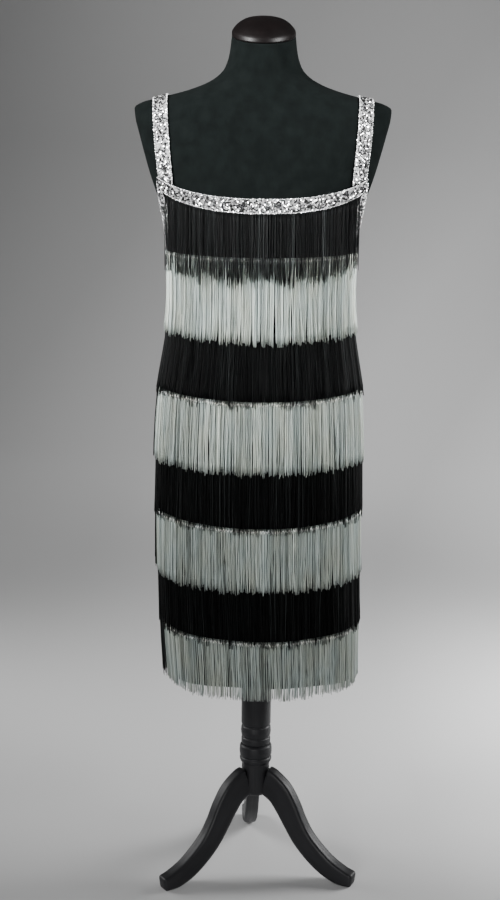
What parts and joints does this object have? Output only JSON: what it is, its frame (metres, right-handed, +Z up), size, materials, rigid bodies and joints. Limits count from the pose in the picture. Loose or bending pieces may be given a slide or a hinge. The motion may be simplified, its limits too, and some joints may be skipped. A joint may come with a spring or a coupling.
{
  "type": "flapper dress on dress form",
  "caption": "Sleeveless fringed flapper dress in black and silver rows, worn by a limbless dress form on a turned tripod stand.",
  "frame": {"origin": "on the floor, at the centre of the whole object's box, 33 mm in front of the stand's axis", "axes": "+Z up along the stand, -Y out of the front of the dress, +X to the wearer's left"},
  "size_m": [0.41, 0.3153, 1.4434],
  "materials": {
    "dress_cloth": "matte black woven cloth",
    "black_fringe": "twisted rayon strands with a soft sheen",
    "silver_fringe": "twisted metallic grey strands with a soft sheen",
    "sequin_trim": "ribbon sewn with bright silver sequins and beads",
    "form_cover": "matte black jersey",
    "cap_gloss": "glossy black",
    "stand_wood": "satin black painted wood"
  },
  "bodies": {
    "root": {"front_panel": "dress_cloth", "back_panel": "dress_cloth", "neckline_trim_front": "sequin_trim", "neckline_trim_back": "sequin_trim", "armhole_trim_left": "sequin_trim", "armhole_trim_right": "sequin_trim", "strap_left": "sequin_trim", "strap_right": "sequin_trim", "fringe_front_1": "black_fringe", "fringe_back_1": "black_fringe", "fringe_front_2": "silver_fringe", "fringe_back_2": "silver_fringe", "fringe_front_3": "black_fringe", "fringe_back_3": "black_fringe", "fringe_front_4": "silver_fringe", "fringe_back_4": "silver_fringe", "fringe_front_5": "black_fringe", "fringe_back_5": "black_fringe", "fringe_front_6": "silver_fringe", "fringe_back_6": "silver_fringe", "fringe_front_7": "black_fringe", "fringe_back_7": "black_fringe", "fringe_front_8": "silver_fringe", "fringe_back_8": "silver_fringe", "form_torso": "form_cover", "form_neck_cap": "cap_gloss", "stand_pole": "stand_wood", "stand_hub": "stand_wood", "stand_leg_left": "stand_wood", "stand_leg_right": "stand_wood", "stand_leg_back": "stand_wood"}
  },
  "joints": []
}
